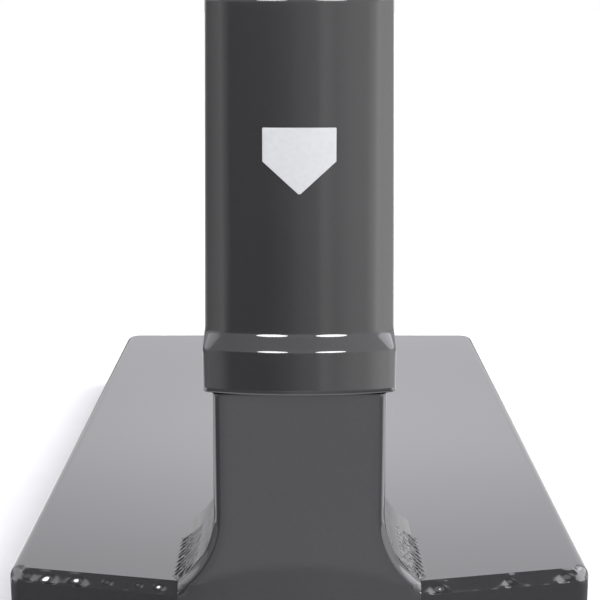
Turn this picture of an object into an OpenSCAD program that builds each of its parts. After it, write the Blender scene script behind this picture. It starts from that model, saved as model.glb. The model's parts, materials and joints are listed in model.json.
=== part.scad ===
// Heavy batting tee: a welded steel base with a neck at its front edge, a square post that lifts
// off the neck, two telescoping tubes and a flexible ball rest. +Z is up, -Y is the front, and the
// origin is on the floor at the middle of the overall box.

/* [Base] */
// Width of the base across its sides
base_w = 282; // [270:1:300]
// Height of the top plate above the floor
plate_top = 40; // [36:1:46]
// How far the outer ends of the front edge sweep back
wing_sweep = 16; // [8:1:24]
// Radius of the rounded rim around the top plate
rim_r = 5.5; // [4:0.5:7]
// Plan radius of the base corners
corner_r = 10; // [9:1:14]
// Thickness of the steel shell
shell_wall = 4; // [3:0.5:4.5]
// Height of the rubber feet, which is also the gap below the shell
foot_h = 5.5; // [5:0.5:7]
// Thickness of the counterweight plate
ballast_h = 14; // [8:1:16]

/* [Neck] */
// Width of the square neck that carries the post
neck_w = 80; // [78:1:82]
// Wall thickness of the neck tube
neck_wall = 4; // [3:0.5:4]
// Height of the neck's top edge above the top plate
neck_h = 210; // [190:5:220]
// Radius of the flare that joins the neck to the plate
flare_r = 44; // [40:1:50]
// Height at which the flare starts
flare_h = 35; // [28:1:36]

/* [Sleeve] */
// Width of the sleeve at its upper end
sleeve_top_w = 84.4; // [83.4:0.2:86]
// Width of the sleeve just above its collar
sleeve_low_w = 88.6; // [87:0.2:89]
// Width of the collar band
collar_w = 90.4; // [90:0.2:93]
// Height of the collar's lower edge above the top plate
collar_gap = 93.5; // [80:0.5:100]
// Height of the collar band
collar_h = 20; // [16:0.5:24]
// Height of the sloping shoulders above the collar and at the sleeve's top
shoulder_h = 8; // [5:0.5:9]
// Height of the sleeve from its lower edge to its upper shoulder
sleeve_h = 175; // [170:1:185]
// Width of the home-plate badge
badge_w = 32.5; // [24:0.5:40]

/* [Mast] */
// Height of the square mast's top above the floor
mast_top = 430; // [420:1:440]
// Wall thickness of the mast tube
mast_wall = 3; // [2:0.5:3]
// Height of the round clamping neck on the mast head
head_h = 38; // [36:1:40]
// Angle at which the clamp lever's grip ends, from the clamp ears
lever_sweep = 128; // [100:1:135]

/* [Telescope] */
// Outer radius of the lower tube
tube1_r = 22; // [21.5:0.5:22.5]
// Length of the lower tube
tube1_len = 435; // [430:5:440]
// Outer radius of the upper tube
tube2_r = 18; // [17.5:0.5:18]
// Length of the upper tube
tube2_len = 398; // [380:2:400]
// Wall thickness of both tubes
tube_wall = 2; // [1.5:0.5:2]

/* [Ball rest] */
// Outer radius of the cup's rim
cup_r = 28; // [24:1:32]
// Height of the ball rest above its swivel centre
rest_h = 62; // [55:1:70]

/* [Fits] */
// Radial clearance of a running fit
running = 0.05; // [0.02:0.01:0.1]
// Gap between sliding square sections
slide_gap = 0.3; // [0.25:0.05:0.5]

/* [Hidden] */
$fn = 48;

hull_fn = 32;
slab = 0.01;
// Every square section is an offset of one outline: front and back are crowned, the sides nearly
// flat, and all their radii and the corners' follow its half width.
crown_excess = 106;
side_excess = 560;
corner_drop = 31;
band_corner = 4.5;
rim_corner = 6;
// How far the flare's outline goes over to the flat foot outline by the time it reaches the plate.
foot_share = 0.97;

// The overall depth runs from the collar's front to the base's back, with its middle at y = 0.
base_back = 257;
post_y = collar_w / 2 - base_back;
base_front = post_y - neck_w / 2;
base_side = base_w / 2;
wing_y = base_front + wing_sweep;
apron_half = neck_w / 2 + flare_out(0);
cavity_top = plate_top - shell_wall;
cover_h = 2.5;
cover_top = foot_h + cover_h;

neck_top = plate_top + neck_h;
sleeve_bottom = plate_top + collar_gap;
band_top = sleeve_bottom + collar_h;
sleeve_low = band_top + shoulder_h;
sleeve_top = sleeve_bottom + sleeve_h;
bore_half = neck_w / 2 + slide_gap;
bush_half = bore_half + 1.9;
badge_z = sleeve_bottom + 106;
badge_h = badge_w * 0.91;
badge_t = 0.8;
badge_face = sleeve_low_w / 2 - (sleeve_low_w - sleeve_top_w) / 2 * (badge_z - sleeve_low) /
    (sleeve_top - sleeve_low) - 0.3;

lock_z = 200;
lock_r = 5;
lock_face = post_y + sleeve_low_w / 2 + 11.5;
washer_h = 2;
knob_h = 16;

clamp_low = mast_top + 13;
clamp_h = 20;
clamp_mid = clamp_low + clamp_h / 2;
head_top = mast_top + head_h;
bush_r = tube1_r + 2;
head_r = bush_r + 3;
ring_r = head_r + 6;
ear_x = 44;
ear_out = 10;
slit = 4;
bolt_r = 3;
pin_r = 2.5;
pin_y = post_y + 22;
plate_h = 2;
cheek_h = 5.5;
cheek_gap = 10.6;
lever_start = 38;

tube1_low = 145;
tube1_top = tube1_low + tube1_len;
ferrule1_r = tube1_r + 3;
nut_low = tube1_top - 28;
collet_low = tube1_top + 0.3;
collet_top = tube1_top + 18;
nut_top = collet_top + 6;
nut_r = 29;

tube2_low = 292;
tube2_top = tube2_low + tube2_len;
ferrule_low = tube2_top - 22;
swivel1_z = tube2_top + 20;
knuckle1_r = 17;
swivel2_z = swivel1_z + 28;
knuckle2_r = 14;
rest_top = swivel2_z + rest_h;
stem_r = 10.5;
stem_top = swivel2_z + 19;
cup_floor = swivel2_z + 26;
cup_wall = 3.2;

paint = [0.27, 0.26, 0.27];
rubber = [0.07, 0.07, 0.07];
plastic = [0.12, 0.12, 0.13];
steel = [0.7, 0.71, 0.73];
alloy = [0.78, 0.79, 0.81];
dark_alloy = [0.2, 0.2, 0.21];

foot_x = 115;
foot_y = [-212, 228];
screw_x = 126;
screw_y = [-150, 20, 190];
ballast_bolt_x = 36;
ballast_bolt_y = [0, 210];

// Sideways growth of the neck's flare at a height above the plate.
function flare_out(height) = flare_r - sqrt(flare_r * flare_r - pow(flare_h - height, 2));

// Outline of a square section: crowned faces and round corners, whose arcs meet smoothly.
function soft_square(half, corner) =
    let (drop = half - corner, ratio = side_excess / crown_excess,
        shift = drop * (1 - ratio) + crown_excess, a = 1 + ratio * ratio, b = 2 * ratio * shift,
        c = shift * shift - pow(drop + crown_excess, 2),
        x = (sqrt(b * b - 4 * a * c) - b) / (2 * a), y = shift - crown_excess + ratio * x,
        front = half + crown_excess, side = half + side_excess,
        front_bow = atan2(x, y + crown_excess), side_bow = atan2(y, x + side_excess),
        turn = 90 - front_bow - side_bow,
        there = concat(
            [for (part = [-1:0.25:0.75]) [half - side, 0] + side * unit(side_bow * part)],
            [for (part = [0:0.125:0.875]) [x, y] + corner * unit(side_bow + turn * part)],
            [for (part = [-1:0.25:0.75]) [0, half - front] + front * unit(90 + front_bow * part)],
            [for (part = [0:0.125:0.875]) [-x, y] + corner * unit(90 + front_bow + turn * part)]))
    concat(there, -there);

function unit(angle) = [cos(angle), sin(angle)];

module at_post(z) {
    translate([0, post_y, z]) children();
}

module square_prism(half, low, high, corner = 0) {
    at_post(low) linear_extrude(high - low)
        polygon(soft_square(half, corner > 0 ? corner : half - corner_drop));
}

// Outline of the flare's foot: flat, with its front in line with the neck's and small front corners.
function foot_outline(growth) = let (half = neck_w / 2 + growth, front = neck_w / 2 - rim_corner,
        side = half - rim_corner, rear_r = rim_corner + growth / 2, rear = half - rear_r)
    concat(
        [for (part = [0:0.125:0.875]) [half, -front + (front + rear) * part]],
        [for (part = [0:0.125:0.875]) [rear, rear] + rear_r * unit(90 * part)],
        [for (part = [0:0.125:0.875]) [rear - 2 * rear * part, half]],
        [for (part = [0:0.125:0.875]) [-rear, rear] + rear_r * unit(90 + 90 * part)],
        [for (part = [0:0.125:0.875]) [-half, rear - (front + rear) * part]],
        [for (part = [0:0.125:0.875]) [-side, -front] + rim_corner * unit(180 + 90 * part)],
        [for (part = [0:0.125:0.875]) [-side + 2 * side * part, -neck_w / 2]],
        [for (part = [0:0.125:0.875]) [side, -front] + rim_corner * unit(270 + 90 * part)]);

// Outline of the flare at a height above the plate, between the neck's outline and the foot's.
function flare_outline(height) = let (share = foot_share * flare_out(height) / flare_out(0))
    (1 - share) * soft_square(neck_w / 2, neck_w / 2 - corner_drop) + share * foot_outline(flare_out(0));

// A solid through outlines of equal length, given as [height, outline].
module loft(levels) {
    count = len(levels[0][1]);
    last = len(levels) - 1;
    points = [for (level = levels) each [for (point = level[1]) [point[0], point[1], level[0]]]];
    sides = [for (i = [0:last - 1]) each [for (k = [0:count - 1]) let (next = (k + 1) % count)
        each [[i * count + k, (i + 1) * count + k, (i + 1) * count + next],
            [i * count + k, (i + 1) * count + next, i * count + next]]]];
    floor_face = [for (k = [0:count - 1]) k];
    roof_face = [for (k = [count - 1:-1:0]) last * count + k];
    at_post(0) polyhedron(points, concat(sides, [floor_face, roof_face]));
}

// A loft through square sections, each given as [height, half width] or with a corner radius too.
module square_loft(levels) {
    loft([for (level = levels)
        [level[0], soft_square(level[1], len(level) > 2 ? level[2] : level[1] - corner_drop)]]);
}

module tube(outer, inner, low, high) {
    at_post(low) difference() {
        cylinder(h = high - low, r = outer);
        translate([0, 0, -1]) cylinder(h = high - low + 2, r = inner);
    }
}

module along_y(x, y, z, radius, length) {
    translate([x, y, z]) rotate([-90, 0, 0]) cylinder(h = length, r = radius);
}

module both_sides() {
    children();
    mirror([1, 0, 0]) children();
}

module foot_places() {
    for (y = foot_y) both_sides() translate([foot_x, y, 0]) children();
}

module cover_screw_places() {
    for (y = screw_y) both_sides() translate([screw_x, y, 0]) children();
}

module ballast_bolt_places() {
    for (y = ballast_bolt_y) both_sides() translate([ballast_bolt_x, y, 0]) children();
}

// The base's plan corners, each drawn with the child shape.
module base_corners() {
    both_sides() {
        translate([apron_half - 2, base_front + corner_r, 0]) children();
        translate([base_side - corner_r, wing_y + corner_r, 0]) children();
        translate([base_side - corner_r, base_back - corner_r, 0]) children();
    }
}

module base_slab(inset, low, high) {
    hull() base_corners() translate([0, 0, low]) cylinder(h = high - low, r = corner_r - inset, $fn = hull_fn);
}

module base_shell() color(paint) difference() {
    hull() base_corners() {
        translate([0, 0, foot_h]) cylinder(h = plate_top - rim_r - foot_h, r = corner_r, $fn = hull_fn);
        for (angle = [22.5:22.5:90])
            translate([0, 0, plate_top - rim_r * (1 - sin(angle)) - slab])
                cylinder(h = slab, r = corner_r - rim_r * (1 - cos(angle)), $fn = hull_fn);
    }
    base_slab(shell_wall, foot_h - 1, cavity_top);
    translate([-apron_half, base_front - 1, 0])
        cube([2 * apron_half, shell_wall + 1, plate_top + 1]);
}

module neck() color(paint) difference() {
    union() {
        loft(concat(
            [for (part = [0:0.2:1]) [plate_top + flare_h * part, flare_outline(flare_h * part)]],
            [[neck_top, flare_outline(flare_h)]]));
        translate([-apron_half, base_front, foot_h])
            cube([2 * apron_half, shell_wall, plate_top - foot_h]);
    }
    square_prism(neck_w / 2 - neck_wall, plate_top, neck_top + 1);
}

// Fillet beads along the foot of the flare, on both sides and behind the neck.
module weld_beads() color(paint) {
    bead_r = 4;
    bead_x = apron_half - 1;
    side_len = neck_w * 0.86;
    both_sides() {
        along_y(bead_x, base_front + 10, plate_top, bead_r, side_len);
        translate([bead_x, base_front + 10, plate_top]) sphere(bead_r);
        translate([bead_x, base_front + 10 + side_len, plate_top]) sphere(bead_r);
    }
    translate([-neck_w * 0.42, post_y + bead_x, plate_top])
        rotate([0, 90, 0]) cylinder(h = neck_w * 0.84, r = bead_r);
}

module stiffening_ribs() color(paint) both_sides()
    translate([66, -185, cover_top + 1]) cube([6, 385, cavity_top - cover_top - 1]);

module ballast_plate() color(dark_alloy) difference() {
    translate([-52, -25, cavity_top - ballast_h]) cube([104, 260, ballast_h]);
    ballast_bolt_places() translate([0, 0, cavity_top - ballast_h - 1]) cylinder(h = ballast_h + 2, r = 4);
}

module ballast_bolts() color(steel) ballast_bolt_places() {
    translate([0, 0, cavity_top - ballast_h]) cylinder(h = ballast_h, r = 4);
    translate([0, 0, cavity_top - ballast_h - 5]) cylinder(h = 5, r = 7, $fn = 6);
}

module cover_bosses() color(paint) cover_screw_places() difference() {
    translate([0, 0, cover_top]) cylinder(h = cavity_top - cover_top, r = 6);
    translate([0, 0, cover_top - 1]) cylinder(h = 15, r = 2);
}

module bottom_cover() color(dark_alloy) difference() {
    base_slab(shell_wall + 0.3, foot_h, cover_top);
    cover_screw_places() cylinder(h = plate_top, r = 2.2);
    foot_places() cylinder(h = plate_top, r = 2.6);
}

module cover_screws() color(steel) cover_screw_places() {
    translate([0, 0, foot_h]) cylinder(h = 13, r = 2);
    translate([0, 0, foot_h - 2.2]) cylinder(h = 2.2, r1 = 3, r2 = 4);
}

module foot(side, y) color(rubber) translate([side * foot_x, y, 0]) difference() {
    cylinder(h = foot_h, r1 = 14, r2 = 15.5);
    translate([0, 0, -1]) cylinder(h = 3.8, r = 6.5);
    cylinder(h = foot_h + 1, r = 2.6);
}

module foot_screws() color(steel) foot_places() {
    translate([0, 0, 0.8]) cylinder(h = 2, r1 = 5, r2 = 5.5);
    translate([0, 0, 2.8]) cylinder(h = 11, r = 2.5);
}

module foot_nuts() color(steel) foot_places() translate([0, 0, cover_top]) difference() {
    cylinder(h = 4, r = 5, $fn = 6);
    translate([0, 0, -1]) cylinder(h = 6, r = 2.5);
}

module lower_sleeve() color(paint) difference() {
    square_loft([[sleeve_bottom, collar_w / 2 - 0.8, band_corner],
        [sleeve_bottom + 1.4, collar_w / 2, band_corner],
        [band_top, collar_w / 2, band_corner],
        [sleeve_low, sleeve_low_w / 2],
        [sleeve_top, sleeve_top_w / 2],
        [sleeve_top + shoulder_h, neck_w / 2 + 0.5]]);
    square_prism(bush_half, sleeve_bottom - 1, band_top);
    square_prism(bore_half, sleeve_bottom - 1, neck_top);
    square_prism(neck_w / 2, neck_top - 1, sleeve_top + shoulder_h + 1);
    along_y(0, post_y + 20, lock_z, lock_r + 0.6, 30);
}

module collar_bush() color(plastic) difference() {
    square_prism(bush_half, sleeve_bottom + 2, band_top);
    square_prism(bore_half, sleeve_bottom, band_top + 1);
}

// A home-plate outline, point down, that wraps the front of the sleeve.
module front_badge() color([0.85, 0.86, 0.87]) intersection() {
    translate([0, post_y, badge_z]) rotate([90, 0, 0])
        linear_extrude(sleeve_low_w) polygon([[-badge_w / 2, badge_h / 2], [badge_w / 2, badge_h / 2],
            [badge_w / 2, 0], [0, -badge_h / 2], [-badge_w / 2, 0]]);
    difference() {
        square_prism(badge_face + badge_t, badge_z - badge_h, badge_z + badge_h);
        square_prism(badge_face, badge_z - badge_h - 1, badge_z + badge_h + 1);
    }
}

module head_screw_axes(radius, start, length) {
    both_sides() for (y = [-15, 15])
        translate([start, post_y + y, mast_top - 9]) rotate([0, 90, 0]) cylinder(h = length, r = radius);
}

module mast_tube() color(paint) difference() {
    square_prism(neck_w / 2, neck_top, mast_top);
    square_prism(neck_w / 2 - mast_wall, neck_top - 1, mast_top + 1);
    head_screw_axes(3.1, 30, 20);
}

module lock_boss() color(paint) difference() {
    along_y(0, lock_face - 12.7, lock_z, 12, 12.7);
    along_y(0, post_y, lock_z, lock_r, 70);
}

module lock_washer() color(steel) difference() {
    along_y(0, lock_face, lock_z, 11, washer_h);
    along_y(0, lock_face - 1, lock_z, lock_r + running, washer_h + 2);
}

module lock_stud() color(steel)
    along_y(0, post_y + neck_w / 2 + 0.15, lock_z, lock_r - running,
        lock_face + washer_h + 12 - post_y - neck_w / 2 - 0.15);

module lock_knob() color(plastic) difference() {
    union() {
        along_y(0, lock_face + washer_h, lock_z, 19, knob_h);
        for (turn = [0:60:300])
            along_y(18 * cos(turn), lock_face + washer_h + 3, lock_z + 18 * sin(turn), 6, knob_h - 4);
    }
    along_y(0, lock_face, lock_z, lock_r - running, washer_h + 12);
}

module mast_head() color(dark_alloy) difference() {
    union() {
        square_prism(neck_w / 2 - mast_wall - 0.1, mast_top - 18, mast_top);
        square_prism(neck_w / 2, mast_top, mast_top + 7);
        tube(head_r, bush_r, mast_top + 6, head_top);
    }
    at_post(mast_top - 20) cylinder(h = head_h + 30, r = bush_r);
    translate([0, post_y - slit / 2, clamp_low - 2]) cube([ring_r, slit, head_h]);
    head_screw_axes(3, 27, 20);
}

module head_screws() color(steel) {
    head_screw_axes(3, 28, neck_w / 2 - 28);
    head_screw_axes(5, neck_w / 2, 2.8);
}

module guide_bush() color(plastic) difference() {
    union() {
        tube(bush_r, tube1_r + running, mast_top - 18, head_top);
        tube(bush_r + 2, tube1_r + running, head_top, head_top + 2);
    }
    translate([0, post_y - slit / 2, clamp_low - 2]) cube([ring_r, slit, head_h]);
}

module clamp_ring() color(dark_alloy) difference() {
    union() {
        at_post(clamp_low) cylinder(h = clamp_h, r = ring_r);
        translate([head_r, post_y - ear_out, clamp_low]) cube([ear_x + 9 - head_r, 2 * ear_out, clamp_h]);
    }
    at_post(clamp_low - 1) cylinder(h = clamp_h + 2, r = head_r);
    translate([0, post_y - slit / 2, clamp_low - 1]) cube([ear_x + 20, slit, clamp_h + 2]);
    along_y(ear_x, post_y - 20, clamp_mid, bolt_r, 40);
}

module clamp_bolt() color(steel) difference() {
    union() {
        along_y(ear_x, post_y - ear_out - 7.5, clamp_mid, bolt_r, ear_out + 7.5 + pin_y - post_y - 3);
        translate([ear_x, pin_y, clamp_mid - 5]) cylinder(h = 10, r = 5.5);
    }
    translate([ear_x, pin_y, clamp_mid - 6]) cylinder(h = 12, r = pin_r);
}

module clamp_nut() color(steel) difference() {
    translate([ear_x, post_y - ear_out, clamp_mid]) rotate([90, 0, 0]) cylinder(h = 5, r = 6, $fn = 6);
    along_y(ear_x, post_y - ear_out - 8, clamp_mid, bolt_r, 12);
}

module cam_plate() color(steel) difference() {
    translate([ear_x - 8, post_y + ear_out, clamp_low]) cube([16, plate_h, clamp_h]);
    along_y(ear_x, post_y, clamp_mid, bolt_r, 20);
}

module lever_pin() color(steel)
    translate([ear_x, pin_y, clamp_low - 1.5]) cylinder(h = clamp_h + 3, r = pin_r);

// The cheeks are round about a centre set off towards the cam plate, so opening frees the clamp.
module lever_cheek(low) {
    cam_r = pin_y - post_y - ear_out - plate_h - 0.8;
    start = [(ring_r + 9) * cos(lever_start), post_y + (ring_r + 9) * sin(lever_start)];
    hull() {
        translate([ear_x, pin_y - 0.7, low]) cylinder(h = cheek_h, r = cam_r, $fn = hull_fn);
        translate([start[0], start[1], low]) cylinder(h = cheek_h, r = 3.5, $fn = hull_fn);
    }
}

module clamp_lever() color(plastic) difference() {
    union() {
        lever_cheek(clamp_mid - cheek_gap / 2 - cheek_h);
        lever_cheek(clamp_mid + cheek_gap / 2);
        at_post(clamp_mid - cheek_gap / 2 - cheek_h) rotate([0, 0, lever_start])
            rotate_extrude(angle = lever_sweep - lever_start)
                translate([ring_r + 5.5, 0]) square([7, cheek_gap + 2 * cheek_h]);
    }
    translate([ear_x, pin_y, clamp_low - 5]) cylinder(h = clamp_h + 10, r = pin_r + running);
    translate([ear_x, pin_y, clamp_mid - cheek_gap / 2]) cylinder(h = cheek_gap, r = 10.5);
}

module stage1_tube() color(alloy) tube(tube1_r, tube1_r - tube_wall, tube1_low, tube1_top);

module stage1_glide() color(plastic) difference() {
    square_prism(neck_w / 2 - neck_wall - 0.4, tube1_low - 5, tube1_low + 20);
    at_post(tube1_low) cylinder(h = 30, r = tube1_r);
}

module stage1_ferrule() color(dark_alloy) tube(ferrule1_r, tube1_r, tube1_top - 22, tube1_top);

module collet() color([0.75, 0.75, 0.74]) difference() {
    tube(tube1_r + 0.4, tube2_r + running, collet_low, collet_top);
    for (turn = [0:120:240])
        at_post(collet_low - 1) rotate([0, 0, turn]) translate([0, -0.75, 0]) cube([30, 1.5, 13]);
}

module twist_nut() color(plastic) difference() {
    union() {
        tube(nut_r, tube2_r + 0.6, nut_low, nut_top);
        for (turn = [0:22.5:359])
            at_post(nut_low + 4) rotate([0, 0, turn]) translate([nut_r, 0, 0]) cylinder(h = 36, r = 2);
    }
    at_post(nut_low - 1) cylinder(h = collet_top + 0.2 - nut_low + 1, r = ferrule1_r + running);
}

module stage2_tube() color(steel) tube(tube2_r, tube2_r - tube_wall, tube2_low, tube2_top);

module stage2_glide() color(plastic) difference() {
    at_post(tube2_low - 7) cylinder(h = 20, r = tube1_r - tube_wall - 0.1);
    at_post(tube2_low) cylinder(h = 30, r = tube2_r);
}

module rest_ferrule() color(dark_alloy) difference() {
    at_post(ferrule_low) cylinder(h = swivel1_z - 2 - ferrule_low, r = 21);
    at_post(ferrule_low - 1) cylinder(h = tube2_top - ferrule_low + 1, r = tube2_r);
    at_post(swivel1_z) sphere(knuckle1_r + 0.3);
}

module flex_link() color(rubber) difference() {
    union() {
        at_post(swivel1_z) sphere(knuckle1_r);
        at_post(swivel1_z + 10) cylinder(h = swivel2_z - 2 - swivel1_z - 10, r = knuckle1_r + 1);
    }
    at_post(swivel2_z) sphere(knuckle2_r + 0.3);
}

// Radius of the cup's outside: it leaves the stem gently and opens towards the rim.
function cup_radius(part) = stem_r + (cup_r - stem_r) * pow(part, 1.3);

module ball_rest() color(rubber) {
    outside = [for (part = [0:0.125:1]) [cup_radius(part), stem_top + (rest_top - stem_top) * part]];
    inside = [for (part = [1:-0.125:0.25])
        [cup_radius(part) - cup_wall, cup_floor + (rest_top - cup_floor) * (part - 0.25) / 0.75]];
    translate([0, post_y, 0]) union() {
        translate([0, 0, swivel2_z]) sphere(knuckle2_r);
        rotate_extrude() polygon(concat([[0, swivel2_z], [stem_r, swivel2_z]], outside, inside,
            [[0, cup_floor]]));
    }
}

base_shell();
neck();
weld_beads();
stiffening_ribs();
ballast_plate();
ballast_bolts();
cover_bosses();
bottom_cover();
cover_screws();
foot(-1, foot_y[0]);  // foot_front_left
foot(1, foot_y[0]);  // foot_front_right
foot(-1, foot_y[1]);  // foot_rear_left
foot(1, foot_y[1]);  // foot_rear_right
foot_screws();
foot_nuts();
lower_sleeve();
collar_bush();
front_badge();
mast_tube();
lock_boss();
lock_washer();
lock_stud();
lock_knob();
mast_head();
head_screws();
guide_bush();
clamp_ring();
clamp_bolt();
clamp_nut();
cam_plate();
lever_pin();
clamp_lever();
stage1_tube();
stage1_glide();
stage1_ferrule();
collet();
twist_nut();
stage2_tube();
stage2_glide();
rest_ferrule();
flex_link();
ball_rest();
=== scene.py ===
"""Looks for the heavy batting tee: glossy welded steel below, telescoping tubes and a rubber rest above.

Lengths are metres, in the CAD frame: +Z up, -Y the front, floor at z = 0.
"""

import json
import math

import bmesh
import bpy
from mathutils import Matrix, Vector, noise


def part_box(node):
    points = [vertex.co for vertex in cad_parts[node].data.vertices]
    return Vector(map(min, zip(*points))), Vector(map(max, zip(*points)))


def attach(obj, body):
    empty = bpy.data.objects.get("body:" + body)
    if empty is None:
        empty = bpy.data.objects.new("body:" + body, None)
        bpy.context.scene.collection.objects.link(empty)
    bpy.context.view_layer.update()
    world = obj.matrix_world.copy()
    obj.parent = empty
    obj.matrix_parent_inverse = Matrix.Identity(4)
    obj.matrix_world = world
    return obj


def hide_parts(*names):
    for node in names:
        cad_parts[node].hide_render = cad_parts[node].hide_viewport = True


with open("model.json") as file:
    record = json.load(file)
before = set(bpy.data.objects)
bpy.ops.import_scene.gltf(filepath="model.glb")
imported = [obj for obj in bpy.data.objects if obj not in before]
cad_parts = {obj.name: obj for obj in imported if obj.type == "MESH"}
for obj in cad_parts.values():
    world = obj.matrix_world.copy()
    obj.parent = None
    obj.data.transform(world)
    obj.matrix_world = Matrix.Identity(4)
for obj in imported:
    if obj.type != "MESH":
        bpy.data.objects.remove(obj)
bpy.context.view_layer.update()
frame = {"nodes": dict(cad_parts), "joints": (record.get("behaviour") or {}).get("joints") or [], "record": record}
MM = 0.001

# ---------------------------------------------------------------------------------------------
# Sizes, read from the frame where it has them
# ---------------------------------------------------------------------------------------------

SHELL_LOW, SHELL_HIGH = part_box("base_shell")
SLEEVE_LOW, SLEEVE_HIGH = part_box("lower_sleeve")
MAST_LOW, MAST_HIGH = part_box("mast_tube")
BADGE_LOW, BADGE_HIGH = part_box("front_badge")

BASE_SIDE = SHELL_HIGH.x
BASE_BACK = SHELL_HIGH.y
PLATE_TOP = SHELL_HIGH.z
SHELL_BOTTOM = SHELL_LOW.z
COLLAR_HALF = SLEEVE_HIGH.x
NECK_HALF = MAST_HIGH.x
POST_Y = (MAST_HIGH.y + MAST_LOW.y) / 2
BASE_FRONT = POST_Y - NECK_HALF
NECK_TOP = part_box("neck")[1].z
POST = (0, POST_Y, 0)

# Every square section is an offset of one outline, as in the CAD model. A face's radius is the half
# width plus an excess, and a corner's radius is the half width less a drop.
CROWN_EXCESS = 106 * MM
SIDE_EXCESS = 560 * MM
CORNER_DROP = 31 * MM
FACE_STEPS = 18
CORNER_STEPS = 14

RIM_R = 5.5 * MM
RIM_STEPS = 15
CORNER_R = 10 * MM
WING_SWEEP = 16 * MM
FLARE_R = 44 * MM
FLARE_H = 35 * MM
APRON_HALF = NECK_HALF + FLARE_R - math.sqrt(FLARE_R**2 - FLARE_H**2)
TUBE_CORNER = 3.6 * MM
WELD_H = 14 * MM

SLEEVE_BOTTOM = SLEEVE_LOW.z
BAND_TOP = SLEEVE_BOTTOM + 20 * MM
SLEEVE_START = BAND_TOP + 8 * MM
SHOULDER = SLEEVE_HIGH.z - 8 * MM
SLEEVE_LOW_HALF = 44.15 * MM
SLEEVE_TOP_HALF = 42.2 * MM
BAND_CORNER = 4.5 * MM

# A guard point sits this far beyond a rounded corner, so that the flat next to it shades flat.
GUARD = 0.5 * MM

SLOT_OF = {part["node"]: part["material_slot"] for part in frame["record"]["subparts"]}
PIVOT_OF = {joint["name"]: joint["pos_m"] for joint in frame["joints"] if "pos_m" in joint}


# ---------------------------------------------------------------------------------------------
# Materials
# ---------------------------------------------------------------------------------------------


def grained(name, dark, light, grain, rough, bump=0.0, stretch=(1, 1, 1), patches=6.0, **sockets):
    """A finish from fine grain and broad patches: both vary colour and roughness, the grain bumps."""
    made = bpy.data.materials.new(name)
    made.use_nodes = True
    nodes, links = made.node_tree.nodes, made.node_tree.links
    shader = nodes["Principled BSDF"]
    place = nodes.new("ShaderNodeTexCoord")
    scaled = nodes.new("ShaderNodeMapping")
    scaled.inputs["Scale"].default_value = stretch
    links.new(place.outputs["Object"], scaled.inputs["Vector"])

    fine = nodes.new("ShaderNodeTexNoise")
    fine.inputs["Scale"].default_value = grain
    fine.inputs["Detail"].default_value = 3
    links.new(scaled.outputs["Vector"], fine.inputs["Vector"])
    broad = nodes.new("ShaderNodeTexNoise")
    broad.inputs["Scale"].default_value = patches
    broad.inputs["Detail"].default_value = 4
    links.new(place.outputs["Object"], broad.inputs["Vector"])

    both = nodes.new("ShaderNodeMath")
    both.operation = "MULTIPLY_ADD"
    both.inputs[1].default_value = 0.5
    links.new(fine.outputs["Fac"], both.inputs[0])
    halved = nodes.new("ShaderNodeMath")
    halved.operation = "MULTIPLY"
    halved.inputs[1].default_value = 0.5
    links.new(broad.outputs["Fac"], halved.inputs[0])
    links.new(halved.outputs[0], both.inputs[2])
    colour = nodes.new("ShaderNodeValToRGB")
    colour.color_ramp.elements[0].position = 0.35
    colour.color_ramp.elements[1].position = 0.65
    colour.color_ramp.elements[0].color = (*dark, 1)
    colour.color_ramp.elements[1].color = (*light, 1)
    links.new(both.outputs[0], colour.inputs["Fac"])
    links.new(colour.outputs["Color"], shader.inputs["Base Color"])

    spread = nodes.new("ShaderNodeMapRange")
    spread.inputs["From Min"].default_value = 0.3
    spread.inputs["From Max"].default_value = 0.7
    spread.inputs["To Min"].default_value = rough[0]
    spread.inputs["To Max"].default_value = rough[1]
    links.new(both.outputs[0], spread.inputs["Value"])
    links.new(spread.outputs["Result"], shader.inputs["Roughness"])

    if bump:
        relief = nodes.new("ShaderNodeBump")
        relief.inputs["Strength"].default_value = bump
        relief.inputs["Distance"].default_value = 0.2 * MM
        links.new(fine.outputs["Fac"], relief.inputs["Height"])
        links.new(relief.outputs["Normal"], shader.inputs["Normal"])
    for socket, value in sockets.items():
        shader.inputs[socket.replace("_", " ")].default_value = value
    return made


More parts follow.
